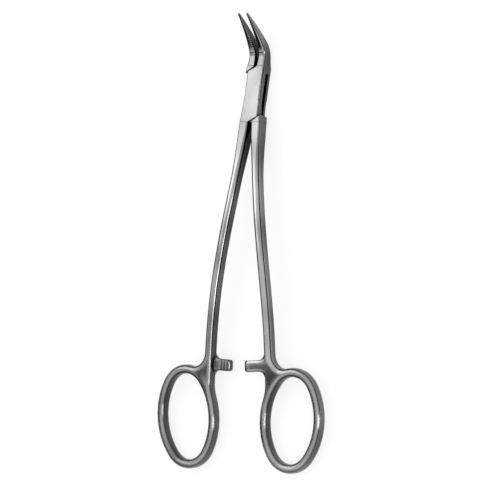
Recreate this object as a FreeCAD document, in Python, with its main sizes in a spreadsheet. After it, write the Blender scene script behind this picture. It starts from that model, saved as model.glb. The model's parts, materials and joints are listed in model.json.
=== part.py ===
import FreeCAD, Part
import math
import os
import Sketcher

# Hemostat forceps with a box lock, bent jaws, two finger rings and a ratchet.
# Each half is drawn in the frame of the closed box lock: the pivot is the origin, X is across,
# Y runs from the rings to the jaw tips, and Z points to the front along the pivot pin.
# The halves are then opened about the pin and laid on their back on the plane Z = 0.

# Driving sizes in millimetres and degrees: alias, value, what it is
SIZES = [
    ("box_thickness", 4.2, "box lock, front face to back face"),
    ("waist_width", 6.35, "box lock across the pivot"),
    ("shoulder_width", 6.8, "box lock across the outer ends of its shoulders"),
    ("shoulder_outer", 6.8, "pivot to the outer end of a shoulder, along Y"),
    ("shoulder_inner", 8.7, "pivot to the inner end of a shoulder, along Y"),
    ("box_end", 8.9, "pivot to the end of the box lock, where arm and jaw begin"),
    ("box_edge_radius", 0.6, "rounding of the long edges of the box lock"),
    ("slot_width", 1.5, "slot through the box lock, front to back"),
    ("slot_radius", 7.35, "closed ends of the slot, about the pivot"),
    ("tongue_width", 4.7, "tongue that runs through the slot"),
    ("running_gap", 0.05, "clearance on each side of faces that slide or meet"),
    ("pin_radius", 1.0, "pivot pin"),
    ("pin_head_radius", 1.25, "riveted ends of the pin, ground flush"),
    ("pin_head_depth", 0.4, "depth of the riveted ends"),
    ("rivet_gap", 0.01, "clearance of the pin in the cheeks"),
    ("pin_gap", 0.04, "running clearance of the pin in the tongue"),
    ("arm_length", 78, "pivot to the lower end of the curved arm, along Y"),
    ("arm_width", 3.0, "arm, seen from the front"),
    ("arm_thickness", 3.7, "arm and finger ring, front to back"),
    ("arm_edge_radius", 1.3, "rounding of the arm and ring edges"),
    ("arm_spread", 7.0, "midline to the middle of the arm at its lower end"),
    ("root_width", 3.5, "arm where it leaves the box lock"),
    ("root_seat", 0.08, "depth to which arm and jaw are sunk into the box lock"),
    ("root_step", 0.04, "step from the faces of the box lock down to arm and jaw"),
    ("root_taper", 18, "length over which the arm slims below the box lock"),
    ("bow_start", 22, "pivot to the place where the arms begin to curve back"),
    ("bow_end", 66, "pivot to the place where they reach the plane of the rings"),
    ("ring_tilt", 9.2, "plane of the rings against the plane of the box lock, in degrees"),
    ("ring_offset", 14.6, "midline to the middle of a finger ring, closed"),
    ("ring_drop", 23.2, "lower end of the arm to the middle of the ring"),
    ("ring_length", 29.6, "finger ring along its band's middle line, long way"),
    ("ring_breadth", 20.5, "finger ring along its band's middle line, short way"),
    ("ring_end_radius", 8.2, "round ends of the ring, along its band's middle line"),
    ("ring_band", 2.85, "width of the band of the ring"),
    ("ring_lean", 7.9, "long way of the ring against the midline, in degrees"),
    ("crotch_radius", 4.5, "fillet between the arm and the top of the ring"),
    ("heel_radius", 12, "fillet between the arm and the inner side of the ring"),
    ("jaw_gap", 0.07, "clearance from a closed jaw's inner face to the midline"),
    ("jaw_root_width", 2.9, "one jaw where it leaves the box lock"),
    ("bend_start", 11.0, "pivot to the start of the bend in the jaws"),
    ("bend_radius", 6.5, "bend of the jaws, along their middle line"),
    ("bend_angle", 43, "turn of the jaws to the front at the bend, in degrees"),
    ("blade_length", 12.3, "straight part of a jaw beyond the bend"),
    ("blade_curl", 11.2, "further turn of the jaw over that length, in degrees"),
    ("bend_width", 2.3, "one jaw at the end of the bend"),
    ("bend_thickness", 2.9, "jaw at the end of the bend, front to back"),
    ("bend_edge_radius", 0.8, "rounding of the outer edges of the jaws at the bend"),
    ("blade_width", 1.4, "one jaw half way to the tip"),
    ("blade_thickness", 1.75, "jaw half way to the tip, front to back"),
    ("blade_edge_radius", 0.5, "rounding of the outer edges half way to the tip"),
    ("tip_width", 0.5, "one jaw at the tip"),
    ("tip_thickness", 0.6, "jaw at the tip, front to back"),
    ("tip_edge_radius", 0.2, "rounding of the outer edges at the tip"),
    ("jaw_inner_radius", 0.08, "rounding of the edges of the jaws' inner faces"),
    ("serration_pitch", 0.75, "grooves across the inner faces of the jaws"),
    ("serration_depth", 0.16, "depth of the grooves"),
    ("ratchet_drop", 6.1, "lower end of the arm to the middle of the ratchet bars"),
    ("ratchet_height", 3.6, "ratchet bar along Y"),
    ("ratchet_thickness", 1.6, "ratchet bar, front to back, teeth included"),
    ("ratchet_root_radius", 2.4, "flare of a ratchet bar at its arm"),
    ("ratchet_sink", 0.6, "depth to which the flare runs into the arm"),
    ("ratchet_end_radius", 0.9, "rounding of the end of a ratchet bar"),
    ("female_bar", 6.3, "ratchet bar of the female half, from the arm's inner side"),
    ("male_bar", 7.1, "ratchet bar of the male half, from the arm's inner side"),
    ("tooth_pitch", 1.2, "ratchet teeth"),
    ("tooth_depth", 0.55, "ratchet teeth"),
    ("tooth_land", 0.8, "end of the bar to the first tooth"),
    ("tooth_count", 3, "ratchet teeth on each bar"),
    ("tooth_gap", 0.03, "clearance from the tooth tips to the plane where the bars pass"),
    ("opening_angle", 6.5, "angle between the halves as the forceps are shown, in degrees"),
]

# Sections along the arm, and along the three stretches of a jaw, each about as far from the next
ARM_STATIONS = 16
ROOT_STATIONS = 2
BEND_STATIONS = 6
BLADE_STATIONS = 8
# Share of the pitch that a serration groove takes, the rest being the land between two grooves
GROOVE_SHARE = 0.9
# Direction, in degrees, of a point on the round end of the tongue
TONGUE_MARK = 80
# Distance in millimetres within which a point counts as lying on a face or on another point
TOLERANCE = 1e-4
# Placement of a sketch that stays on its origin plane
UNMOVED = "placement(vector(0; 0; 0); rotation(0; 0; 0))"

doc = FreeCAD.newDocument("hemostat_forceps")
sheet = doc.addObject("Spreadsheet::Sheet", "sizes")
for row, (alias, value, meaning) in enumerate(SIZES, start=1):
    sheet.set(f"A{row}", meaning)
    sheet.set(f"B{row}", str(value))
    sheet.setAlias(f"B{row}", alias)
doc.recompute()


def size(alias):
    return float(sheet.get(alias))


def number(expression):
    """Value of an expression such as "sizes.arm_width / 2"."""
    value = sheet.evalExpression(expression)
    return float(getattr(value, "Value", value))


def origin_plane(body, role):
    return next(item for item in body.Origin.OriginFeatures if item.Role == role)


def add_sketch(body, name, role, place):
    """Sketch on one of the body's origin planes, moved there by an expression."""
    sketch = body.newObject("Sketcher::SketchObject", f"{body.Name}_{name}")
    sketch.AttachmentSupport = [(origin_plane(body, role), "")]
    sketch.MapMode = "FlatFace"
    sketch.setExpression("AttachmentOffset", place)
    return sketch


def dimension(sketch, name, constraint, expression):
    """Named constraint whose value is an expression."""
    index = sketch.addConstraint(Sketcher.Constraint(*constraint, number(expression)))
    sketch.renameConstraint(index, name)
    sketch.setExpression("Constraints." + name, expression)


def pin_point(sketch, name, geometry, end, x, y):
    """Holds one point of a sketch at x, y from its origin."""
    dimension(sketch, name + "_x", ("DistanceX", -1, 1, geometry, end), x)
    dimension(sketch, name + "_y", ("DistanceY", -1, 1, geometry, end), y)


def rounded_section(body, name, place, width, thickness, left_radius, right_radius):
    """Rounded rectangle about the sketch's origin, one radius for each of its sides."""
    sketch = add_sketch(body, name, "XZ_Plane", place)
    a, b = number(width) / 2, number(thickness) / 2
    left, right = number(left_radius), number(right_radius)
    corners = [
        (FreeCAD.Vector(a - right, right - b, 0), right, -90),
        (FreeCAD.Vector(a - right, b - right, 0), right, 0),
        (FreeCAD.Vector(left - a, b - left, 0), left, 90),
        (FreeCAD.Vector(left - a, left - b, 0), left, 180),
    ]
    arcs = [
        Part.ArcOfCircle(Part.Circle(middle, FreeCAD.Vector(0, 0, 1), radius),
                         math.radians(start), math.radians(start + 90))
        for middle, radius, start in corners
    ]
    for index, arc in enumerate(arcs):
        sketch.addGeometry(Part.LineSegment(arcs[index - 1].EndPoint, arc.StartPoint), False)
        sketch.addGeometry(arc, False)
    # The sides are numbered 0 bottom, 2 right, 4 top, 6 left, each followed by its corner's arc.
    for index in range(8):
        sketch.addConstraint(Sketcher.Constraint("Tangent", index, 2, (index + 1) % 8, 1))
    for side, direction in ((0, "Horizontal"), (4, "Horizontal"), (2, "Vertical"), (6, "Vertical")):
        sketch.addConstraint(Sketcher.Constraint(direction, side))
    sketch.addConstraint(Sketcher.Constraint("Equal", 1, 3))
    sketch.addConstraint(Sketcher.Constraint("Equal", 5, 7))
    dimension(sketch, "right_radius", ("Radius", 1), right_radius)
    dimension(sketch, "left_radius", ("Radius", 5), left_radius)
    dimension(sketch, "right_half", ("DistanceX", -1, 1, 2, 1), f"({width}) / 2")
    dimension(sketch, "left_half", ("DistanceX", 6, 1, -1, 1), f"({width}) / 2")
    dimension(sketch, "front_half", ("DistanceY", -1, 1, 4, 1), f"({thickness}) / 2")
    dimension(sketch, "back_half", ("DistanceY", 0, 1, -1, 1), f"({thickness}) / 2")
    return sketch


def outline(sketch, corners, bows=None, prefix="corner"):
    """Closed outline through its corners. A side with an entry in bows is an arc through that point."""
    bows = bows or {}
    points = [FreeCAD.Vector(number(x), number(y), 0) for x, y in corners]
    sides = []
    for index, start in enumerate(points):
        finish = points[(index + 1) % len(points)]
        if index not in bows:
            sides.append((sketch.addGeometry(Part.LineSegment(start, finish), False), 1, 2))
            continue
        through = FreeCAD.Vector(number(bows[index][0]), number(bows[index][1]), 0)
        # An arc runs anticlockwise in a sketch, so one that bends the other way is drawn from its end.
        anticlockwise = (through - start).cross(finish - through).z > 0
        first, last = (start, finish) if anticlockwise else (finish, start)
        arc = sketch.addGeometry(Part.Arc(first, through, last), False)
        sides.append((arc, 1, 2) if anticlockwise else (arc, 2, 1))
        mark = sketch.addGeometry(Part.Point(through), True)
        pin_point(sketch, f"{prefix}_bow_{index}", mark, 1, *bows[index])
        sketch.addConstraint(Sketcher.Constraint("PointOnObject", mark, 1, arc))
    for index, (side, start, finish) in enumerate(sides):
        following, its_start, _ = sides[(index + 1) % len(sides)]
        sketch.addConstraint(Sketcher.Constraint("Coincident", side, finish, following, its_start))
        pin_point(sketch, f"{prefix}_{index}", side, start, *corners[index])


def circle(sketch, radius):
    """Circle about the sketch's origin."""
    shape = Part.Circle(FreeCAD.Vector(), FreeCAD.Vector(0, 0, 1), number(radius))
    index = sketch.addGeometry(shape, False)
    sketch.addConstraint(Sketcher.Constraint("Coincident", index, 3, -1, 1))
    dimension(sketch, "radius", ("Radius", index), radius)


def upright_oval(sketch, offset):
    """Oval of four arcs about the sketch's origin, that far outside the middle line of the ring."""
    length = f"(sizes.ring_length / 2 + {offset})"
    breadth = f"(sizes.ring_breadth / 2 + {offset})"
    radius = f"(sizes.ring_end_radius + {offset})"
    end_centre = "(sizes.ring_length / 2 - sizes.ring_end_radius)"
    slack = "(sizes.ring_breadth / 2 - sizes.ring_end_radius)"
    # Distance from the centre of an end arc to that of a side arc, which touch each other inside
    reach = f"(({slack}^2 + {end_centre}^2) / (2 * {slack}))"
    side_centre = f"({reach} - {slack})"
    x = f"({radius} * {side_centre} / {reach})"
    y = f"({end_centre} + {radius} * {end_centre} / {reach})"
    outline(
        sketch,
        [(x, y), (f"-{x}", y), (f"-{x}", f"-{y}"), (x, f"-{y}")],
        {0: ("0", length), 1: (f"-{breadth}", "0"), 2: ("0", f"-{length}"), 3: (breadth, "0")},
    )


def extrude(body, kind, name, sketch, length, side="Symmetric", backwards=False):
    """Pad or pocket of a sketch."""
    feature = body.newObject("PartDesign::" + kind, f"{body.Name}_{name}")
    feature.Profile = sketch
    feature.SideType = side
    feature.Reversed = backwards
    feature.setExpression("Length", length)
    return feature


def loft(body, name, sections):
    feature = body.newObject("PartDesign::AdditiveLoft", f"{body.Name}_{name}")
    feature.Profile = sections[0]
    feature.Sections = sections[1:]
    feature.Ruled = True
    return feature


def fillet(body, name, radius, wanted):
    """Fillet on the edges of the body's last feature whose points all pass the test."""
    doc.recompute()
    base = body.Tip
    edges = []
    for index, edge in enumerate(base.Shape.Edges, start=1):
        middle = edge.valueAt((edge.FirstParameter + edge.LastParameter) / 2)
        ends = [vertex.Point for vertex in edge.Vertexes]
        if wanted(ends, middle):
            edges.append(f"Edge{index}")
    feature = body.newObject("PartDesign::Fillet", f"{body.Name}_{name}")
    feature.Base = (base, edges)
    feature.setExpression("Radius", radius)
    return feature


# Middle line of an arm, as expressions of the distance below the pivot
def eased(share):
    return f"({share})^2 * (3 - 2 * ({share}))"


def between(first, last, share):
    return f"({first} + ({last} - {first}) * ({share}))"


def drop_at(distance):
    curve = "tan(sizes.ring_tilt) / (2 * (sizes.bow_end - sizes.bow_start))"
    begun = f"max(0; {distance} - sizes.bow_start)"
    ended = f"max(0; {distance} - sizes.bow_end)"
    return f"({curve} * ({begun}^2 - {ended}^2))"


def slope_at(distance):
    begun = f"max(0; {distance} - sizes.bow_start)"
    ended = f"max(0; {distance} - sizes.bow_end)"
    return f"(tan(sizes.ring_tilt) * ({begun} - {ended}) / (sizes.bow_end - sizes.bow_start))"


ROOT = "(sizes.box_end - sizes.root_seat)"
ROOT_THICKNESS = "(sizes.box_thickness - 2 * sizes.root_step)"


def arm_section(body, index, side):
    share = f"({index} / {ARM_STATIONS})"
    distance = between(ROOT, "sizes.arm_length", share)
    slimmed = eased(f"min(1; ({distance} - {ROOT}) / sizes.root_taper)")
    root_middle = "(sizes.running_gap + sizes.root_width / 2)"
    spread = between(root_middle, "sizes.arm_spread", eased(share))
    rate = f"6 * {share} * (1 - {share}) / (sizes.arm_length - {ROOT})"
    turn = f"atan((sizes.arm_spread - {root_middle}) * {rate})"
    place = (
        f"placement(vector({side} * {spread}; -{drop_at(distance)}; {distance}); "
        f"rotationx(atan({slope_at(distance)})) * rotationy({side} * {turn}))"
    )
    width = between("(sizes.root_width - 2 * sizes.root_step)", "sizes.arm_width", slimmed)
    thickness = between(ROOT_THICKNESS, "sizes.arm_thickness", slimmed)
    radius = between("sizes.box_edge_radius", "sizes.arm_edge_radius", slimmed)
    return rounded_section(body, f"arm_{index}", place, width, thickness, radius, radius)


def add_arm(body, side):
    loft(body, "arm", [arm_section(body, index, side) for index in range(ARM_STATIONS + 1)])


RING_PLANE = (
    f"placement(vector(0; -sizes.arm_length; -{drop_at('sizes.arm_length')}); "
    "rotationx(sizes.ring_tilt))"
)


def add_ring(body, side):
    """Finger ring with the stem that carries it, rounded all round."""
    centre = (
        f"{RING_PLANE} * placement(vector({side} * sizes.ring_offset; -sizes.ring_drop; 0); "
        f"rotationz({-side} * sizes.ring_lean))"
    )
    rim = add_sketch(body, "ring_rim", "XY_Plane", centre)
    upright_oval(rim, "sizes.ring_band / 2")
    extrude(body, "Pad", "ring", rim, "sizes.arm_thickness")

    inner = f"{side} * (sizes.arm_spread - sizes.arm_width / 2)"
    outer = f"{side} * (sizes.arm_spread + sizes.arm_width / 2)"
    foot = "sizes.ring_length / 4 - sizes.ring_drop"
    stem = add_sketch(body, "stem_outline", "XY_Plane", RING_PLANE)
    outline(stem, [(inner, "0"), (outer, "0"), (outer, foot), (inner, foot)])
    extrude(body, "Pad", "stem", stem, "sizes.arm_thickness")

    def in_corner(across):
        def test(ends, middle):
            below = -size("arm_length") - size("arm_width")
            return all(
                abs(point.x - across) < TOLERANCE and point.y < below
                for point in ends + [middle]
            )
        return test

    fillet(body, "crotch", "sizes.crotch_radius", in_corner(number(outer)))
    fillet(body, "heel", "sizes.heel_radius", in_corner(number(inner)))

    hole = add_sketch(body, "ring_opening", "XY_Plane", centre)
    upright_oval(hole, "-sizes.ring_band / 2")
    extrude(body, "Pocket", "finger_opening", hole, "2 * sizes.arm_thickness")

    tilt = math.radians(size("ring_tilt"))
    normal = FreeCAD.Vector(0, -math.sin(tilt), math.cos(tilt))
    along = FreeCAD.Vector(0, math.cos(tilt), math.sin(tilt))
    start = FreeCAD.Vector(0, -size("arm_length"), -number(drop_at("sizes.arm_length")))

    def on_rim(ends, middle):
        points = ends + [middle]
        flat = all(
            abs(abs((point - start).dot(normal)) - size("arm_thickness") / 2) < TOLERANCE
            for point in points
        )
        return flat and any((point - start).dot(along) < -TOLERANCE for point in points)

    fillet(body, "ring_edges", "sizes.arm_edge_radius", on_rim)


def jaw_section(body, name, side, place, width, thickness, radius):
    """Section of a jaw: flat on the midline, rounded on its outer side."""
    y, z, turn = place
    offset = (
        f"placement(vector({side} * (sizes.jaw_gap + ({width}) / 2); {z}; -({y})); "
        f"rotationx({turn}))"
    )
    inner = "sizes.jaw_inner_radius"
    radii = (inner, radius) if side > 0 else (radius, inner)
    return rounded_section(body, name, offset, width, thickness, *radii)


def bend_point(turn):
    """Y and Z of the jaw's middle line where it has turned by that angle."""
    y = f"(sizes.bend_start + sizes.bend_radius * sin({turn}))"
    z = f"(sizes.bend_radius * (1 - cos({turn})))"
    return y, z


def through_three(first, middle, last, share):
    """Smooth change of a size along the blade, which has the middle value half way."""
    return (
        f"({first} * (1 - {share}) * (1 - 2 * {share}) + 4 * {middle} * {share} * (1 - {share})"
        f" + {last} * {share} * (2 * {share} - 1))"
    )


# Width, thickness and outer rounding of a jaw: at the box lock and the bend, and along the blade
JAW_ROOT_SIZES = [
    (
        "(sizes.jaw_root_width + sizes.running_gap - sizes.jaw_gap - sizes.root_step)",
        "sizes.bend_width",
    ),
    (ROOT_THICKNESS, "sizes.bend_thickness"),
    ("sizes.box_edge_radius", "sizes.bend_edge_radius"),
]
BLADE_SIZES = [
    ("sizes.bend_width", "sizes.blade_width", "sizes.tip_width"),
    ("sizes.bend_thickness", "sizes.blade_thickness", "sizes.tip_thickness"),
    ("sizes.bend_edge_radius", "sizes.blade_edge_radius", "sizes.tip_edge_radius"),
]


def root_stations():
    """Straight stretch of a jaw, from the box lock to the start of the bend."""
    for index in range(ROOT_STATIONS):
        share = f"({index} / {ROOT_STATIONS})"
        place = (between(ROOT, "sizes.bend_start", share), "0", "0")
        yield place, [between(root, bend, f"{share} / 2") for root, bend in JAW_ROOT_SIZES]


def bend_stations():
    for index in range(BEND_STATIONS):
        share = f"({index} / {BEND_STATIONS})"
        turn = f"(sizes.bend_angle * {share})"
        yield (*bend_point(turn), turn), [
            between(root, bend, f"(1 + {share}) / 2") for root, bend in JAW_ROOT_SIZES
        ]


def blade_stations():
    """Blade beyond the bend, tapering to the tip and still curling a little."""
    y, z = bend_point("sizes.bend_angle")
    for index in range(BLADE_STATIONS + 1):
        share = f"({index} / {BLADE_STATIONS})"
        run = f"sizes.blade_length * {share}"
        heading = f"(sizes.bend_angle + sizes.blade_curl * {share} / 2)"
        place = (f"{y} + {run} * cos({heading})", f"{z} + {run} * sin({heading})",
                 f"sizes.bend_angle + sizes.blade_curl * {share}")
        yield place, [through_three(*names, share) for names in BLADE_SIZES]


def add_jaw(body, side):
    """Jaw from the box lock through its bend to the tip, with the grooves across its inner face."""
    stations = [*root_stations(), *bend_stations(), *blade_stations()]
    sections = [
        jaw_section(body, f"jaw_{index}", side, place, *sizes)
        for index, (place, sizes) in enumerate(stations)
    ]
    loft(body, "jaw", sections)
    add_serrations(body, side, *bend_point("sizes.bend_angle"))


def add_serrations(body, side, y, z):
    """Row of V grooves from the bend to just short of the tip."""
    place = (
        f"placement(vector(0; {y}; {z}); rotationx(sizes.bend_angle + sizes.blade_curl / 2))"
    )
    count = int((size("blade_length") - size("blade_width")) / size("serration_pitch"))
    proud = "sizes.serration_depth"
    near = f"{side} * (sizes.jaw_gap - {proud})"
    far = f"{side} * (sizes.jaw_gap - 2 * {proud})"
    deep = f"{side} * (sizes.jaw_gap + sizes.serration_depth)"
    corners = [(far, "0")]
    for index in range(count):
        start = f"sizes.serration_pitch * {index}"
        corners.append((near, start))
        corners.append((deep, f"{start} + sizes.serration_pitch * {GROOVE_SHARE} / 2"))
        corners.append((near, f"{start} + sizes.serration_pitch * {GROOVE_SHARE}"))
    corners.append((far, f"sizes.serration_pitch * {count}"))
    grooves = add_sketch(body, "serration_outline", "XY_Plane", place)
    outline(grooves, corners)
    extrude(body, "Pocket", "serrations", grooves, "2 * sizes.box_thickness")


def add_ratchet(body, side, bar_length, front):
    """Ratchet bar across the midline; front is 1 where the bar lies in the front half of the arm."""
    half = "sizes.ratchet_height / 2"
    root = "sizes.ratchet_root_radius"
    end = "sizes.ratchet_end_radius"
    arm_side = "(sizes.arm_spread - sizes.arm_width / 2)"
    flare_end = f"({arm_side} + sizes.ratchet_sink)"
    bar_end = f"({arm_side} - {bar_length})"
    # How far the middle of a quarter round lies from the corner that it rounds, along X and Y
    nip = "(1 - sqrt(0.5))"
    place = (
        f"{RING_PLANE} * placement(vector(0; -sizes.ratchet_drop; {front} * sizes.tooth_gap); "
        "rotation(0; 0; 0))"
    )

    def point(x, y):
        return f"{side} * ({x})", y

    corners = [
        point("sizes.arm_spread", f"-({half} + {root})"),
        point(flare_end, f"-({half} + {root})"),
        point(f"{flare_end} - {root}", f"-({half})"),
        point(f"{bar_end} + {end}", f"-({half})"),
        point(bar_end, f"-({half}) + {end}"),
        point(bar_end, f"{half} - {end}"),
        point(f"{bar_end} + {end}", half),
        point(f"{flare_end} - {root}", half),
        point(flare_end, f"{half} + {root}"),
        point("sizes.arm_spread", f"{half} + {root}"),
    ]
    bows = {
        1: point(f"{flare_end} - {root} * {nip}", f"-({half} + {root} * {nip})"),
        3: point(f"{bar_end} + {end} * {nip}", f"-({half}) + {end} * {nip}"),
        5: point(f"{bar_end} + {end} * {nip}", f"{half} - {end} * {nip}"),
        7: point(f"{flare_end} - {root} * {nip}", f"{half} + {root} * {nip}"),
    }
    bar = add_sketch(body, "ratchet_outline", "XY_Plane", place)
    outline(bar, corners, bows)
    extrude(body, "Pad", "ratchet_bar", bar, "sizes.ratchet_thickness", "One side", front < 0)

    # Saw teeth: each notch is deepest at its wall, which faces the bar's own arm.
    upright = f"{place} * placement(vector(0; 0; 0); rotationx(90))"
    teeth = add_sketch(body, "teeth_outline", "XY_Plane", upright)
    proud = f"{-front} * sizes.tooth_depth"
    first_wall = f"({bar_end} + sizes.tooth_land)"
    notches = [(f"{side} * ({first_wall})", proud)]
    for index in range(int(size("tooth_count"))):
        wall = f"{side} * ({first_wall} + {index} * sizes.tooth_pitch)"
        slope_end = f"{side} * ({first_wall} + {index + 1} * sizes.tooth_pitch)"
        notches.append((wall, f"{front} * sizes.tooth_depth"))
        notches.append((slope_end, "0"))
    notches.append((f"{side} * ({first_wall} + sizes.tooth_count * sizes.tooth_pitch)", proud))
    outline(teeth, notches)
    extrude(body, "Pocket", "teeth", teeth, "2 * sizes.ratchet_height")


def on_long_edges(ends, middle):
    """Edges along the sides of the box lock, on its front and back faces."""
    points = ends + [middle]
    on_face = all(
        abs(abs(point.z) - size("box_thickness") / 2) < TOLERANCE for point in points
    )
    return on_face and all(abs(point.x) > size("tongue_width") / 2 for point in points)


def add_cheeks(body, side):
    """Box of the female half: two cheeks, closed at the arm's root and at the jaw's root."""
    arm_outer = "sizes.running_gap + sizes.root_width"
    jaw_outer = "sizes.running_gap + sizes.jaw_root_width"
    shoulder = "sizes.shoulder_width / 2"
    waist = "sizes.waist_width / 2"
    box = add_sketch(body, "cheek_outline", "XY_Plane", UNMOVED)
    corners = [
        (f"{side} * ({arm_outer})", "-sizes.box_end"),
        (f"{side} * {shoulder}", "sizes.shoulder_outer"),
        (f"{-side} * sizes.running_gap", "sizes.shoulder_inner"),
        (f"{-side} * sizes.running_gap", "sizes.box_end"),
        (f"{-side} * ({jaw_outer})", "sizes.box_end"),
        (f"{-side} * {shoulder}", "-sizes.shoulder_outer"),
        (f"{side} * sizes.running_gap", "-sizes.shoulder_inner"),
        (f"{side} * sizes.running_gap", "-sizes.box_end"),
    ]
    outline(box, corners, {0: (f"{side} * {waist}", "0"), 4: (f"{-side} * {waist}", "0")})
    extrude(body, "Pad", "cheeks", box, "sizes.box_thickness")
    fillet(body, "cheek_edges", "sizes.box_edge_radius", on_long_edges)


def cut_slot(body, side):
    """Slot between the cheeks, open to both sides, with round ends about the pivot."""
    disc = add_sketch(body, "slot_disc", "XY_Plane", UNMOVED)
    circle(disc, "sizes.slot_radius")
    extrude(body, "Pocket", "slot", disc, "sizes.slot_width")
    ways = add_sketch(body, "slot_ways", "XY_Plane", UNMOVED)
    beyond = "sizes.shoulder_width"
    for turn in (1, -1):
        corners = [
            (f"{turn * side} * sizes.running_gap", f"{-turn} * sizes.tongue_width / 2"),
            (f"{turn * side} * sizes.running_gap", f"{-turn} * (sizes.box_end + sizes.running_gap)"),
            (f"{-turn * side} * {beyond}", f"{-turn} * (sizes.box_end + sizes.running_gap)"),
            (f"{-turn * side} * {beyond}", f"{-turn} * sizes.tongue_width / 2"),
        ]
        outline_names = "lower" if turn > 0 else "upper"
        outline(ways, corners, prefix=outline_names)
    extrude(body, "Pocket", "slot_ends", ways, "sizes.slot_width")


def add_tongue(body, side):
    """Tongue of the male half and the full-thickness shoulders at its two ends."""
    half = "sizes.tongue_width / 2"
    radius = "(sizes.slot_radius - 2 * sizes.running_gap)"
    gap = "sizes.running_gap"
    chord = f"sqrt({radius}^2 - ({half})^2)"
    top = f"sqrt({radius}^2 - {gap}^2)"
    mark_x = f"{radius} * cos({TONGUE_MARK})"
    mark_y = f"{radius} * sin({TONGUE_MARK})"
    corners = [
        (f"{side} * {half}", "-sizes.box_end"),
        (f"{side} * {half}", chord),
        (f"{-side} * {gap}", top),
        (f"{-side} * {gap}", "sizes.box_end"),
        (f"{-side} * {half}", "sizes.box_end"),
        (f"{-side} * {half}", f"-{chord}"),
        (f"{side} * {gap}", f"-{top}"),
        (f"{side} * {gap}", "-sizes.box_end"),
    ]
    tongue = add_sketch(body, "tongue_outline", "XY_Plane", UNMOVED)
    bows = {1: (f"{side} * {mark_x}", mark_y), 5: (f"{-side} * {mark_x}", f"-{mark_y}")}
    outline(tongue, corners, bows)
    extrude(body, "Pad", "tongue", tongue, "sizes.slot_width - 2 * sizes.running_gap")

    for name, turn, root in (("lower", 1, "sizes.root_width"), ("upper", -1, "sizes.jaw_root_width")):
        shoulder = add_sketch(body, name + "_shoulder_outline", "XY_Plane", UNMOVED)
        inner = f"{turn * side} * {gap}"
        corners = [
            (inner, f"{-turn} * sizes.box_end"),
            (inner, f"{-turn} * (sizes.shoulder_inner + 2 * {gap})"),
            (f"{turn * side} * sizes.shoulder_width / 2", f"{-turn} * (sizes.shoulder_outer + 2 * {gap})"),
            (f"{turn * side} * ({gap} + {root})", f"{-turn} * sizes.box_end"),
        ]
        outline(shoulder, corners)
        extrude(body, "Pad", name + "_shoulder", shoulder, "sizes.box_thickness")
    fillet(body, "shoulder_edges", "sizes.box_edge_radius", on_long_edges)


def revolved_pin(body, kind, name, gap):
    """Half section of the pin, riveted out at both ends, turned about the pivot."""
    shank = f"sizes.pin_radius + {gap}"
    head = f"sizes.pin_head_radius + {gap}"
    face = "sizes.box_thickness / 2"
    step = f"{face} - sizes.pin_head_depth"
    profile = add_sketch(body, name + "_profile", "XZ_Plane", UNMOVED)
    outline(profile, [("0", f"-{face}"), (head, f"-{face}"), (shank, f"-({step})"),
                      (shank, step), (head, face), ("0", face)])
    feature = body.newObject("PartDesign::" + kind, f"{body.Name}_{name}")
    feature.Profile = profile
    feature.ReferenceAxis = (profile, ["V_Axis"])
    feature.Angle = 360
    return feature


def new_body(name):
    body = doc.addObject("PartDesign::Body", name)
    body.Label = name
    return body


def build_female():
    """Half with the box: its arm is on the left, its jaw on the right."""
    body = new_body("female_half")
    side = -1
    add_cheeks(body, side)
    add_ring(body, side)
    add_arm(body, side)
    add_jaw(body, -side)
    add_ratchet(body, side, "sizes.female_bar", -1)
    cut_slot(body, side)
    revolved_pin(body, "Groove", "pin_hole", "sizes.rivet_gap")
    return body


def build_male():
    """Half with the tongue: its arm is on the right, its jaw on the left."""
    body = new_body("male_half")
    side = 1
    add_tongue(body, side)
    add_ring(body, side)
    add_arm(body, side)
    add_jaw(body, -side)
    add_ratchet(body, side, "sizes.male_bar", 1)
    hole = add_sketch(body, "pin_hole_outline", "XY_Plane", UNMOVED)
    circle(hole, "sizes.pin_radius + sizes.pin_gap")
    extrude(body, "Pocket", "pin_hole", hole, "sizes.box_thickness")
    return body


def build_pin():
    body = new_body("pivot_pin")
    revolved_pin(body, "Revolution", "pin", "0")
    return body


def check_document():
    for item in doc.Objects:
        if "Invalid" in item.State or "Error" in item.State:
            raise RuntimeError(f"{item.Name} failed: {item.State}")


def check_shape(body):
    shape = body.Shape
    if shape.isNull() or not shape.isValid() or len(shape.Solids) != 1:
        raise RuntimeError(f"{body.Label} is not one valid solid")


def lay_down(female, male, pin):
    """Opens the halves about the pin and lays them on their back, centred over the origin."""
    half_angle = size("opening_angle") / 2
    turn_axis = FreeCAD.Vector(0, 0, 1)
    across = FreeCAD.Vector(1, 0, 0)
    turns = {female: -half_angle, male: half_angle, pin: -half_angle}
    tilt = rest_tilt()
    laid = {
        body: FreeCAD.Placement(
            FreeCAD.Vector(),
            FreeCAD.Rotation(across, -tilt).multiply(FreeCAD.Rotation(turn_axis, turn)),
        )
        for body, turn in turns.items()
    }
    box = FreeCAD.BoundBox()
    for body, placement in laid.items():
        shape = body.Shape.copy()
        shape.Placement = placement
        box.add(shape.optimalBoundingBox(False, False))
    shift = FreeCAD.Vector(-box.Center.x, -box.Center.y, -box.ZMin)
    for body, placement in laid.items():
        body.Placement = FreeCAD.Placement(shift, placement.Rotation)
    return tilt, shift


def rest_tilt():
    """Lean of the box lock when it lies on its upper back edge and on the lower ends of the rings."""
    tilt = math.radians(size("ring_tilt"))
    reach = size("ring_drop") + (size("ring_length") + size("ring_band")) / 2
    back = size("arm_thickness") / 2
    start_drop = number(drop_at("sizes.arm_length"))
    ring_y = size("arm_length") + reach * math.cos(tilt) + back * math.sin(tilt)
    ring_back = start_drop + reach * math.sin(tilt) + back * math.cos(tilt)
    rise = ring_back - size("box_thickness") / 2
    return math.degrees(math.atan(rise / (ring_y + size("box_end"))))


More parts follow.
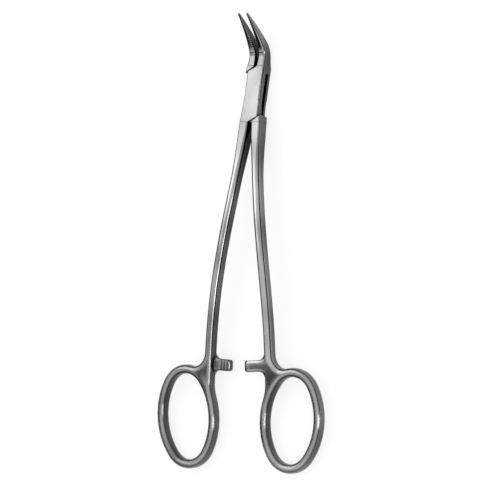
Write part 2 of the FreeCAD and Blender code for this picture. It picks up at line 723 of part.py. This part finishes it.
female_half = build_female()
male_half = build_male()
pivot_pin = build_pin()
doc.recompute()
check_document()
for sub_part in (female_half, male_half, pivot_pin):
    check_shape(sub_part)
rest_lean, rest_shift = lay_down(female_half, male_half, pivot_pin)
doc.recompute()
check_document()

os.makedirs("parts", exist_ok=True)
for sub_part in (female_half, male_half, pivot_pin):
    check_shape(sub_part)
    sub_part.Shape.exportStep(f"parts/{sub_part.Label}.step")
    print(sub_part.Label, round(sub_part.Shape.Volume, 2), "mm3")
print("pivot at", [round(value, 4) for value in rest_shift], "box lock leans", round(rest_lean, 4))
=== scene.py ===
import json
import math

import bmesh
import bpy
from mathutils import Matrix, Vector


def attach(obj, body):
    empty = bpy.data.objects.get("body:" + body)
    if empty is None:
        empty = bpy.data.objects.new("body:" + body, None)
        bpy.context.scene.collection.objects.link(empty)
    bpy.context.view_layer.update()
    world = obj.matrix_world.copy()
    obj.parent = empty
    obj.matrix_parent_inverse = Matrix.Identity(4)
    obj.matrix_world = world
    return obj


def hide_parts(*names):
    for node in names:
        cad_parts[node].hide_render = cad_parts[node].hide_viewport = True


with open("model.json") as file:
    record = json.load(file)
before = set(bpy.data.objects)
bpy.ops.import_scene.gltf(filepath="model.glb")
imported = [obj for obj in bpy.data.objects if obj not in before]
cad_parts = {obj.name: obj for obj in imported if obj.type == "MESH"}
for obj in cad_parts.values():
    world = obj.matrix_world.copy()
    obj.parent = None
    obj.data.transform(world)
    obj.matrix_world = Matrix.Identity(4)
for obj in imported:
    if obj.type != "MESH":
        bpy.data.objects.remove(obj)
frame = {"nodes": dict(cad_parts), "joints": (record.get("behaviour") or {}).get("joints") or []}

bl_info = {
    "name": "Hemostat Forceps",
    "version": (1, 0, 0),
    "blender": (4, 5, 0),
    "location": "View3D > Sidebar > Hemostat",
    "description": "Dresses the packed forceps in polished steel and sets up its studio",
    "category": "Object",
}

# Body of the frame that each half belongs to, and the hinge between them
FEMALE_BODY = "female"
MALE_BODY = "male"
HINGE = frame["joints"][0]
PIVOT = Vector(HINGE["pos_m"])
PIN_AXIS = Vector(HINGE["axis"]).normalized()

# Points of the CAD mesh nearer than this are one, and shorter edges are dropped, in metres
MERGE_DISTANCE = 1e-6
SLIVER_LENGTH = 1e-7
# How strongly large faces pull the shading of the edges towards their own
FACE_WEIGHT = 80

# Each noise of the finish: its scale, detail and roughness
GRAIN_NOISE = (900.0, 3.0, 0.6)
RUB_NOISE = (160.0, 4.0, 0.55)
SPECK_NOISE = (2600.0, 2.0, 0.5)
WAVE_NOISE = (75.0, 1.0, 0.4)
NOISE_MIDDLE = 0.5
# The grain is drawn out along the forceps
GRAIN_STRETCH = (9.0, 0.8, 9.0)
# How much of its depth each relief shows
GRAIN_STRENGTH = 0.6
WAVE_STRENGTH = 1.0
# Y at which the edges start to get rounder, and at which they are as round as the rings
ROUNDING_START = -0.028
ROUNDING_END = -0.046
ROUNDING_SAMPLES = 8
# Cosine between a face and its rounded normal at which the face counts as all edge
EDGE_COSINE = 0.86
# What grain and edge add to the roughness, and specks and edge to the brightness
GRAIN_ROUGHNESS = 0.05
EDGE_ROUGHNESS = -0.06
SPECK_BRIGHTNESS = 0.05
EDGE_BRIGHTNESS = 0.1
# How fast the painted shade darkens the steel's colour as other surfaces close in
PAINTED_SHADE_POWER = 2.6
PAINTED_SHADE_SAMPLES = 12

# Inputs of the steel's node group, and the setting that each takes
STEEL_VALUES = {
    "Grey": "base_grey",
    "Roughness": "polish_roughness",
    "Rubbed": "rub_roughness",
    "Grain Depth": "grain_depth",
    "Edge Radius": "edge_radius",
    "Ring Radius": "ring_radius",
    "Wave Depth": "wave_depth",
    "Cloud": "cloud",
    # The next three set the shade painted darker into the steel's corners and grooves
    "Painted Shade Reach": "painted_shade_reach",
    "Crevice Shade Reach": "crevice_shade_reach",
    "Painted Shade Depth": "painted_shade_depth",
    "Pin Cover": "pin_cover",
}

FLOOR_ROUGHNESS = 0.9
BLACK_GREY = 0.01
BLACK_ROUGHNESS = 1.0
FLAG_SEGMENTS = 96
# Middle of the black card, in metres
CARD_MIDDLE = (-0.31, -0.11, 0.40)
# Each soft box: its direction from the middle of the floor, its distance and its width
KEY_BOX = ((-0.6, 0.32, 0.73), 0.9, 0.45)
FILL_BOX = ((0.7, -0.2, 0.68), 0.9, 0.25)
# Width of the film in millimetres, and the nearest and farthest distance seen, in metres
FILM_WIDTH = 36.0
CLIP_START = 0.01
CLIP_END = 50.0


class FinishSettings(bpy.types.PropertyGroup):
    """Look of the steel"""
    smooth_angle: bpy.props.FloatProperty(
        name="Smooth Angle", description="Faces that meet at less than this are shaded as one",
        default=math.radians(32), subtype="ANGLE")
    base_grey: bpy.props.FloatProperty(
        name="Steel Grey", description="Brightness of the bare steel", default=0.31,
        min=0.0, max=1.0, subtype="FACTOR")
    polish_roughness: bpy.props.FloatProperty(
        name="Polish Roughness", description="Roughness where the steel is best polished",
        default=0.055, min=0.0, max=1.0, subtype="FACTOR")
    rub_roughness: bpy.props.FloatProperty(
        name="Rub Roughness", description="Roughness added where handling has dulled the polish",
        default=0.08, min=0.0, max=1.0, subtype="FACTOR")
    grain_depth: bpy.props.FloatProperty(
        name="Grain Depth", description="Depth of the polishing grain", default=0.000004,
        unit="LENGTH")
    edge_radius: bpy.props.FloatProperty(
        name="Edge Radius", description="Break of the ground edges", default=0.0004,
        unit="LENGTH")
    ring_radius: bpy.props.FloatProperty(
        name="Ring Radius", description="Rounding of the edges of the rings", default=0.0024,
        unit="LENGTH")
    wave_depth: bpy.props.FloatProperty(
        name="Wave Depth", description="Depth of the slow waves that polishing by hand leaves",
        default=0.0004, unit="LENGTH")
    cloud: bpy.props.FloatProperty(
        name="Cloud", description="How much the brightness drifts along the steel", default=0.6,
        min=0.0, max=1.0, subtype="FACTOR")
    # Painted shade: how near another surface must be, in corners and in grooves, for shade to be
    # painted into the steel's colour
    painted_shade_reach: bpy.props.FloatProperty(
        name="Painted Shade Reach", description="How near another surface darkens a corner",
        default=0.02, unit="LENGTH")
    crevice_shade_reach: bpy.props.FloatProperty(
        name="Crevice Shade Reach", description="How near another surface darkens a groove",
        default=0.0009, unit="LENGTH")
    # Painted shade: share of the brightness that the shade painted into a deep corner takes away
    painted_shade_depth: bpy.props.FloatProperty(
        name="Painted Shade Depth", description="How much of the brightness a deep corner loses", default=0.96,
        min=0.0, max=1.0, subtype="FACTOR")
    pin_cover: bpy.props.FloatProperty(
        name="Pin Cover", description="Radius about the pin where its rim is ground flush",
        default=0.002, unit="LENGTH")


class StageSettings(bpy.types.PropertyGroup):
    """Floor, screens, lights and camera"""
    camera_turn: bpy.props.FloatProperty(
        name="Camera Turn", description="Camera to the right of the rings' front",
        default=math.radians(38), subtype="ANGLE")
    ring_plane: bpy.props.FloatProperty(
        name="Ring Plane", description="Plane of the finger rings against the floor",
        default=math.radians(3.97), subtype="ANGLE")
    camera_roll: bpy.props.FloatProperty(
        name="Camera Roll", description="Turn of the picture about its middle",
        default=math.radians(0.5), subtype="ANGLE")
    camera_distance: bpy.props.FloatProperty(
        name="Camera Distance", description="Camera to the box lock", default=1.25, unit="LENGTH")
    view_width: bpy.props.FloatProperty(
        name="View Width", description="Width of the picture at the box lock", default=0.1488,
        unit="LENGTH")
    aim_across: bpy.props.FloatProperty(
        name="Aim Across", description="Middle of the picture to the left of the pivot",
        default=0.0050, unit="LENGTH")
    aim_down: bpy.props.FloatProperty(
        name="Aim Down", description="Middle of the picture below the pivot", default=0.04495,
        unit="LENGTH")
    floor_width: bpy.props.FloatProperty(
        name="Floor Width", description="Side of the square floor", default=8.0, unit="LENGTH")
    fall_start: bpy.props.FloatProperty(
        name="Fall Start", description="Where the floor begins to fall", default=0.024,
        unit="LENGTH")
    fall_end: bpy.props.FloatProperty(
        name="Fall End", description="Where the floor is level again", default=0.125,
        unit="LENGTH")
    floor_fall: bpy.props.FloatProperty(
        name="Floor Fall", description="How far the floor falls", default=0.0066, unit="LENGTH")
    floor_grey: bpy.props.FloatProperty(
        name="Floor Grey", description="Colour of the floor under the lamps", default=0.26,
        min=0.0, max=1.0, subtype="FACTOR")
    floor_lift: bpy.props.FloatProperty(
        name="Floor Lift", description="Light that the floor adds by itself", default=0.79)
    flag_radius: bpy.props.FloatProperty(
        name="Flag Radius", description="Distance of the dark flag", default=0.5, unit="LENGTH")
    flag_height: bpy.props.FloatProperty(
        name="Flag Height", description="Height of the dark flag", default=0.39, unit="LENGTH")
    flag_solid: bpy.props.FloatProperty(
        name="Flag Solid", description="Height from which the dark flag begins to clear",
        default=0.23, unit="LENGTH")
    card_width: bpy.props.FloatProperty(
        name="Card Width", description="Width of the black strip left of the rings", default=0.05,
        unit="LENGTH")
    card_length: bpy.props.FloatProperty(
        name="Card Length", description="Length of the black strip left of the rings",
        default=0.3, unit="LENGTH")
    key_power: bpy.props.FloatProperty(
        name="Key Power", description="Soft box over the left side", default=0.85, unit="POWER")
    fill_power: bpy.props.FloatProperty(
        name="Fill Power", description="Soft box over the right side", default=1.0, unit="POWER")
    sky_strength: bpy.props.FloatProperty(
        name="Sky Strength", description="Even light from all round", default=0.8)


def new_node(tree, kind, inputs, **settings):
    """New node with its settings, and its inputs by name or number, each linked or set."""
    node = tree.nodes.new(kind)
    for name, value in settings.items():
        setattr(node, name, value)
    for key, value in inputs.items():
        if isinstance(value, bpy.types.NodeSocket):
            tree.links.new(value, node.inputs[key])
        else:
            node.inputs[key].default_value = value
    return node


def calculated(tree, operation, *values):
    """Result of a Math node on sockets or numbers."""
    node = new_node(tree, "ShaderNodeMath", dict(enumerate(values)), operation=operation)
    return node.outputs["Value"]


def sum_of(tree, first, second, share):
    """First value plus a share of the second."""
    return calculated(tree, "MULTIPLY_ADD", second, share, first)


def vector_math(tree, operation, *values):
    """Vector Math node on sockets or vectors."""
    return new_node(tree, "ShaderNodeVectorMath", dict(enumerate(values)), operation=operation)


def map_range(tree, value, limits):
    """Value brought from one range to another, with the limits that aren't 0 and 1 by name."""
    node = new_node(tree, "ShaderNodeMapRange", {"Value": value, **limits})
    return node.outputs["Result"]


def noise(tree, point, scale, detail, roughness):
    """Noise at a point, from 0 to 1."""
    node = new_node(tree, "ShaderNodeTexNoise", {
        "Vector": point, "Scale": scale, "Detail": detail, "Roughness": roughness})
    return node.outputs["Fac"]


def rounded_normal(tree, point, edge_radius, ring_radius, pin_cover):
    """Normal with its edges rounded, most on the rings and not at all at the ground-off pin."""
    place = new_node(tree, "ShaderNodeSeparateXYZ", {"Vector": point})
    radius = map_range(tree, place.outputs["Y"], {
        "From Min": ROUNDING_START, "From Max": ROUNDING_END,
        "To Min": edge_radius, "To Max": ring_radius})
    from_pivot = vector_math(tree, "SUBTRACT", point, PIVOT)
    off_axis = vector_math(tree, "CROSS_PRODUCT", from_pivot.outputs["Vector"], PIN_AXIS)
    distance = vector_math(tree, "LENGTH", off_axis.outputs["Vector"])
    clear_of_pin = calculated(tree, "GREATER_THAN", distance.outputs["Value"], pin_cover)
    rounding = calculated(tree, "MULTIPLY", radius, clear_of_pin)
    node = new_node(tree, "ShaderNodeBevel", {"Radius": rounding}, samples=ROUNDING_SAMPLES)
    return node.outputs["Normal"]


def edge_mask(tree, rounded):
    """1 on the edges, which are polished most, and 0 on the flats."""
    surface = new_node(tree, "ShaderNodeNewGeometry", {})
    level = vector_math(tree, "DOT_PRODUCT", rounded, surface.outputs["Normal"])
    return map_range(tree, level.outputs["Value"], {"From Min": 1.0, "From Max": EDGE_COSINE})


def openness(tree, reach):
    """1 in the open, and less where another surface lies within reach; used to paint shade into
    the steel's colour.
    """
    node = new_node(tree, "ShaderNodeAmbientOcclusion", {"Distance": reach},
                    samples=PAINTED_SHADE_SAMPLES)
    return node.outputs["AO"]


def bump(tree, height, depth, strength, normal):
    """Normal with the height worked into it."""
    node = new_node(tree, "ShaderNodeBump", {
        "Height": height, "Distance": depth, "Strength": strength, "Normal": normal})
    return node.outputs["Normal"]


def steel_finish_group():
    """Node group that works out tint, roughness and normal of polished steel from a point, with
    shade painted darker into its corners and grooves.
    """
    group = bpy.data.node_groups.new("steel_finish", "ShaderNodeTree")
    face = group.interface
    face.new_socket("Point", in_out="INPUT", socket_type="NodeSocketVector")
    for name in STEEL_VALUES:
        face.new_socket(name, in_out="INPUT", socket_type="NodeSocketFloat")
    face.new_socket("Tint", in_out="OUTPUT", socket_type="NodeSocketColor")
    face.new_socket("Roughness", in_out="OUTPUT", socket_type="NodeSocketFloat")
    face.new_socket("Normal", in_out="OUTPUT", socket_type="NodeSocketVector")
    given = new_node(group, "NodeGroupInput", {}).outputs
    point = given["Point"]

    drawn = new_node(group, "ShaderNodeMapping", {"Vector": point, "Scale": GRAIN_STRETCH})
    grain = noise(group, drawn.outputs["Vector"], *GRAIN_NOISE)
    rub = noise(group, point, *RUB_NOISE)
    specks = noise(group, point, *SPECK_NOISE)
    waves = noise(group, point, *WAVE_NOISE)
    rounded = rounded_normal(group, point, given["Edge Radius"], given["Ring Radius"],
                             given["Pin Cover"])
    edge = edge_mask(group, rounded)

    # Duller where hands have rubbed and along the grain, and better polished on the edges
    dulled = sum_of(group, given["Roughness"], rub, given["Rubbed"])
    grained = sum_of(group, dulled, grain, GRAIN_ROUGHNESS)
    roughness = sum_of(group, grained, edge, EDGE_ROUGHNESS)

    # Brightness drifts with the waves, and shade is painted darker into corners and grooves
    drift = calculated(group, "SUBTRACT", waves, NOISE_MIDDLE)
    clouded = sum_of(group, given["Grey"], drift, given["Cloud"])
    specked = sum_of(group, clouded, specks, SPECK_BRIGHTNESS)
    bright = sum_of(group, specked, edge, EDGE_BRIGHTNESS)
    # Painted shade: the tint is darkened where other surfaces are near
    corner_openness = calculated(group, "MULTIPLY", openness(group, given["Painted Shade Reach"]),
                      openness(group, given["Crevice Shade Reach"]))
    darkest_share = calculated(group, "SUBTRACT", 1.0, given["Painted Shade Depth"])
    unshaded_share = map_range(group, calculated(group, "POWER", corner_openness, PAINTED_SHADE_POWER), {"To Min": darkest_share})
    shaded_brightness = calculated(group, "MULTIPLY", bright, unshaded_share)
    tint = new_node(group, "ShaderNodeCombineColor", {"Red": shaded_brightness, "Green": shaded_brightness, "Blue": shaded_brightness})

    wavy = bump(group, waves, given["Wave Depth"], WAVE_STRENGTH, rounded)
    normal = bump(group, grain, given["Grain Depth"], GRAIN_STRENGTH, wavy)
    new_node(group, "NodeGroupOutput", {
        "Tint": tint.outputs["Color"], "Roughness": roughness, "Normal": normal})
    return group


def steel_material(name):
    """Polished surgical steel."""
    finish = bpy.context.scene.hemostat_finish
    group = bpy.data.node_groups.get("steel_finish") or steel_finish_group()
    material = bpy.data.materials.new(name)
    material.use_nodes = True
    tree = material.node_tree
    shader = tree.nodes["Principled BSDF"]
    shader.inputs["Metallic"].default_value = 1.0
    values = {socket: getattr(finish, setting) for socket, setting in STEEL_VALUES.items()}
    place = new_node(tree, "ShaderNodeTexCoord", {})
    look = new_node(tree, "ShaderNodeGroup", {"Point": place.outputs["Object"], **values},
                    node_tree=group)
    tree.links.new(look.outputs["Tint"], shader.inputs["Base Color"])
    tree.links.new(look.outputs["Roughness"], shader.inputs["Roughness"])
    tree.links.new(look.outputs["Normal"], shader.inputs["Normal"])
    return material


def smooth_copy(node_name, name, body, material):
    """Copy of a CAD node with its seams merged and its gentle edges shaded smooth."""
    source = frame["nodes"][node_name]
    mesh = bpy.data.meshes.new(name)
    work = bmesh.new()
    work.from_mesh(source.data)
    bmesh.ops.remove_doubles(work, verts=work.verts, dist=MERGE_DISTANCE)
    bmesh.ops.dissolve_degenerate(work, edges=work.edges, dist=SLIVER_LENGTH)
    for face in work.faces:
        face.smooth = True
    limit = bpy.context.scene.hemostat_finish.smooth_angle
    for edge in work.edges:
        edge.smooth = len(edge.link_faces) == 2 and edge.calc_face_angle(math.pi) < limit
    work.to_mesh(mesh)
    work.free()
    mesh.materials.append(material)
    piece = bpy.data.objects.new(name, mesh)
    bpy.context.scene.collection.objects.link(piece)
    even = piece.modifiers.new("even_shading", "WEIGHTED_NORMAL")
    even.keep_sharp = True
    even.weight = FACE_WEIGHT
    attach(piece, body)
    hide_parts(node_name)
    return piece


class HEMOSTAT_OT_female_half(bpy.types.Operator):
    """Dresses the half with the box of the lock and the left ring"""
    bl_idname = "hemostat.female_half"
    bl_label = "Female Half"

    def execute(self, context):
        piece = smooth_copy("female_half", "female_half_polished", FEMALE_BODY,
                            steel_material("female_steel"))
        return {"FINISHED"}


class HEMOSTAT_OT_male_half(bpy.types.Operator):
    """Dresses the half whose tongue runs through the box of the lock, with the right ring"""
    bl_idname = "hemostat.male_half"
    bl_label = "Male Half"

    def execute(self, context):
        piece = smooth_copy("male_half", "male_half_polished", MALE_BODY,
                            steel_material("male_steel"))
        return {"FINISHED"}


class HEMOSTAT_OT_pivot_pin(bpy.types.Operator):
    """Dresses the pin, whose riveted ends are ground flush with the box lock"""
    bl_idname = "hemostat.pivot_pin"
    bl_label = "Pivot Pin"

    def execute(self, context):
        piece = smooth_copy("pivot_pin", "pivot_pin_polished", FEMALE_BODY,
                            steel_material("pin_steel_ground"))
        return {"FINISHED"}


def seen_or_reflected(tree):
    """Socket that is 1 where the camera, a polished face or glass looks at the surface."""
    path = new_node(tree, "ShaderNodeLightPath", {}).outputs
    total = path["Is Camera Ray"]
    for ray in ("Is Glossy Ray", "Is Transmission Ray"):
        added = new_node(tree, "ShaderNodeMath", {0: total, 1: path[ray]}, operation="ADD",
                         use_clamp=True)
        total = added.outputs["Value"]
    return total


def matt_material(name, grey, roughness):
    """Plain grey material without any shine."""
    material = bpy.data.materials.new(name)
    material.use_nodes = True
    shader = material.node_tree.nodes["Principled BSDF"]
    shader.inputs["Base Color"].default_value = (grey, grey, grey, 1.0)
    shader.inputs["Roughness"].default_value = roughness
    shader.inputs["Specular IOR Level"].default_value = 0.0
    return material


def floor_material(stage):
    """Pale floor that adds some light of its own where the camera or a reflection sees it."""
    material = matt_material("studio_floor", stage.floor_grey, FLOOR_ROUGHNESS)
    tree = material.node_tree
    shader = tree.nodes["Principled BSDF"]
    shader.inputs["Emission Color"].default_value = (1.0, 1.0, 1.0, 1.0)
    lift = calculated(tree, "MULTIPLY", seen_or_reflected(tree), stage.floor_lift)
    tree.links.new(lift, shader.inputs["Emission Strength"])
    return material


def add_floor(stage):
    """Floor that falls gently on the right, where the open half swings below its resting plane."""
    half = stage.floor_width / 2
    mesh = bpy.data.meshes.new("studio_floor")
    profile = [(-half, 0), (stage.fall_start, 0), (stage.fall_end, -stage.floor_fall),
               (half, -stage.floor_fall)]
    corners = [(x, y, z) for x, z in profile for y in (-half, half)]
    strips = [(i, i + 2, i + 3, i + 1) for i in (0, 2, 4)]
    mesh.from_pydata(corners, [], strips)
    mesh.materials.append(floor_material(stage))
    floor = bpy.data.objects.new("studio_floor", mesh)
    bpy.context.scene.collection.objects.link(floor)


def add_black(name, work, material):
    """Black screen for the polish to reflect, out of the camera's sight and without a shadow."""
    mesh = bpy.data.meshes.new(name)
    work.to_mesh(mesh)
    work.free()
    mesh.materials.append(material)
    screen = bpy.data.objects.new(name, mesh)
    screen.visible_camera = False
    screen.visible_shadow = False
    screen.visible_diffuse = False
    bpy.context.scene.collection.objects.link(screen)


def add_flag(stage):
    """Low black wall round the object, clearer towards its top, for dark lines along the edges."""
    material = matt_material("dark_flag", BLACK_GREY, BLACK_ROUGHNESS)
    tree = material.node_tree
    place = new_node(tree, "ShaderNodeTexCoord", {})
    height = new_node(tree, "ShaderNodeSeparateXYZ", {"Vector": place.outputs["Object"]})
    fade = map_range(tree, height.outputs["Z"], {
        "From Min": stage.flag_solid, "From Max": stage.flag_height})
    clear = new_node(tree, "ShaderNodeBsdfTransparent", {})
    mix = new_node(tree, "ShaderNodeMixShader", {
        0: fade, 1: tree.nodes["Principled BSDF"].outputs["BSDF"], 2: clear.outputs["BSDF"]})
    tree.links.new(mix.outputs["Shader"], tree.nodes["Material Output"].inputs["Surface"])
    work = bmesh.new()
    bmesh.ops.create_cone(work, segments=FLAG_SEGMENTS, radius1=stage.flag_radius,
                          radius2=stage.flag_radius, depth=stage.flag_height,
                          matrix=Matrix.Translation((0, 0, stage.flag_height / 2)))
    add_black("dark_flag", work, material)


def add_card(stage):
    """Black strip high up on the left of the rings, for a dark band in their flats."""
    middle = Vector(CARD_MIDDLE)
    side = Vector((0, stage.card_width / 2, 0))
    end = middle.cross(side).normalized() * stage.card_length / 2
    work = bmesh.new()
    work.faces.new([work.verts.new(middle + corner)
                    for corner in (side + end, side - end, -side - end, end - side)])
    add_black("ring_card", work, matt_material("ring_card", BLACK_GREY, BLACK_ROUGHNESS))


def add_soft_box(name, direction, distance, width, power):
    """Square soft box in that direction from the middle of the floor, facing it."""
    light = bpy.data.lights.new(name, "AREA")
    light.shape = "SQUARE"
    light.size = width
    light.energy = power
    lamp = bpy.data.objects.new(name, light)
    away = Vector(direction).normalized()
    lamp.matrix_world = (
        Matrix.Translation(away * distance) @ away.to_track_quat("Z", "Y").to_matrix().to_4x4()
    )
    lamp.visible_camera = False
    bpy.context.scene.collection.objects.link(lamp)


def add_sky(stage):
    """Even light from all round, white where the camera or a reflection looks at it."""
    world = bpy.data.worlds.new("studio_sky")
    bpy.context.scene.world = world
    world.use_nodes = True
    tree = world.node_tree
    background = tree.nodes["Background"]
    background.inputs["Color"].default_value = (1.0, 1.0, 1.0, 1.0)
    strength = map_range(tree, seen_or_reflected(tree), {"To Min": stage.sky_strength})
    tree.links.new(strength, background.inputs["Strength"])


def add_camera(stage):
    """Camera that sees the forceps as the photograph does, from the right of the rings' front."""
    across = Vector((1, 0, 0))
    along = Vector((0, math.cos(stage.ring_plane), math.sin(stage.ring_plane)))
    front = across.cross(along)
    towards = math.sin(stage.camera_turn) * across + math.cos(stage.camera_turn) * front
    right = along.cross(towards)
    aim = PIVOT - stage.aim_across * right - stage.aim_down * along
    camera = bpy.data.cameras.new("photo_camera")
    camera.sensor_width = FILM_WIDTH
    camera.lens = FILM_WIDTH * stage.camera_distance / stage.view_width
    camera.clip_start = CLIP_START
    camera.clip_end = CLIP_END
    holder = bpy.data.objects.new("photo_camera", camera)
    facing = Matrix((right, along, towards)).transposed().to_4x4()
    holder.matrix_world = (
        Matrix.Translation(PIVOT) @ Matrix.Rotation(stage.camera_roll, 4, towards)
        @ Matrix.Translation(aim - PIVOT + towards * stage.camera_distance) @ facing
    )
    bpy.context.scene.collection.objects.link(holder)
    bpy.context.scene.camera = holder


class HEMOSTAT_OT_studio(bpy.types.Operator):
    """Sets up the floor, the black screens, the soft boxes, the sky and the camera"""
    bl_idname = "hemostat.studio"
    bl_label = "Studio"

    def execute(self, context):
        stage = context.scene.hemostat_stage
        add_floor(stage)
        add_flag(stage)
        add_card(stage)
        add_soft_box("key_soft_box", *KEY_BOX, stage.key_power)
        add_soft_box("fill_soft_box", *FILL_BOX, stage.fill_power)
        add_sky(stage)
        add_camera(stage)
        context.scene.view_settings.view_transform = "Standard"
        return {"FINISHED"}


class HEMOSTAT_PT_sidebar(bpy.types.Panel):
    """Finish and studio of the forceps, with a button for each step"""
    bl_idname = "HEMOSTAT_PT_sidebar"
    bl_label = "Hemostat Forceps"
    bl_space_type = "VIEW_3D"
    bl_region_type = "UI"
    bl_category = "Hemostat"

    def draw(self, context):
        for settings in (context.scene.hemostat_finish, context.scene.hemostat_stage):
            column = self.layout.column()
            for name in settings.__annotations__:
                column.prop(settings, name)
        for operator in OPERATORS:
            self.layout.operator(operator.bl_idname)


OPERATORS = (
    HEMOSTAT_OT_female_half,
    HEMOSTAT_OT_male_half,
    HEMOSTAT_OT_pivot_pin,
    HEMOSTAT_OT_studio,
)
CLASSES = (FinishSettings, StageSettings, *OPERATORS, HEMOSTAT_PT_sidebar)


def register():
    for item in CLASSES:
        bpy.utils.register_class(item)
    bpy.types.Scene.hemostat_finish = bpy.props.PointerProperty(type=FinishSettings)
    bpy.types.Scene.hemostat_stage = bpy.props.PointerProperty(type=StageSettings)


def unregister():
    del bpy.types.Scene.hemostat_stage
    del bpy.types.Scene.hemostat_finish
    for item in reversed(CLASSES):
        bpy.utils.unregister_class(item)


def main():
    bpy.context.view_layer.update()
    register()
    bpy.ops.hemostat.female_half()
    bpy.ops.hemostat.male_half()
    bpy.ops.hemostat.pivot_pin()
    bpy.ops.hemostat.studio()


if __name__ == "__main__":
    main()
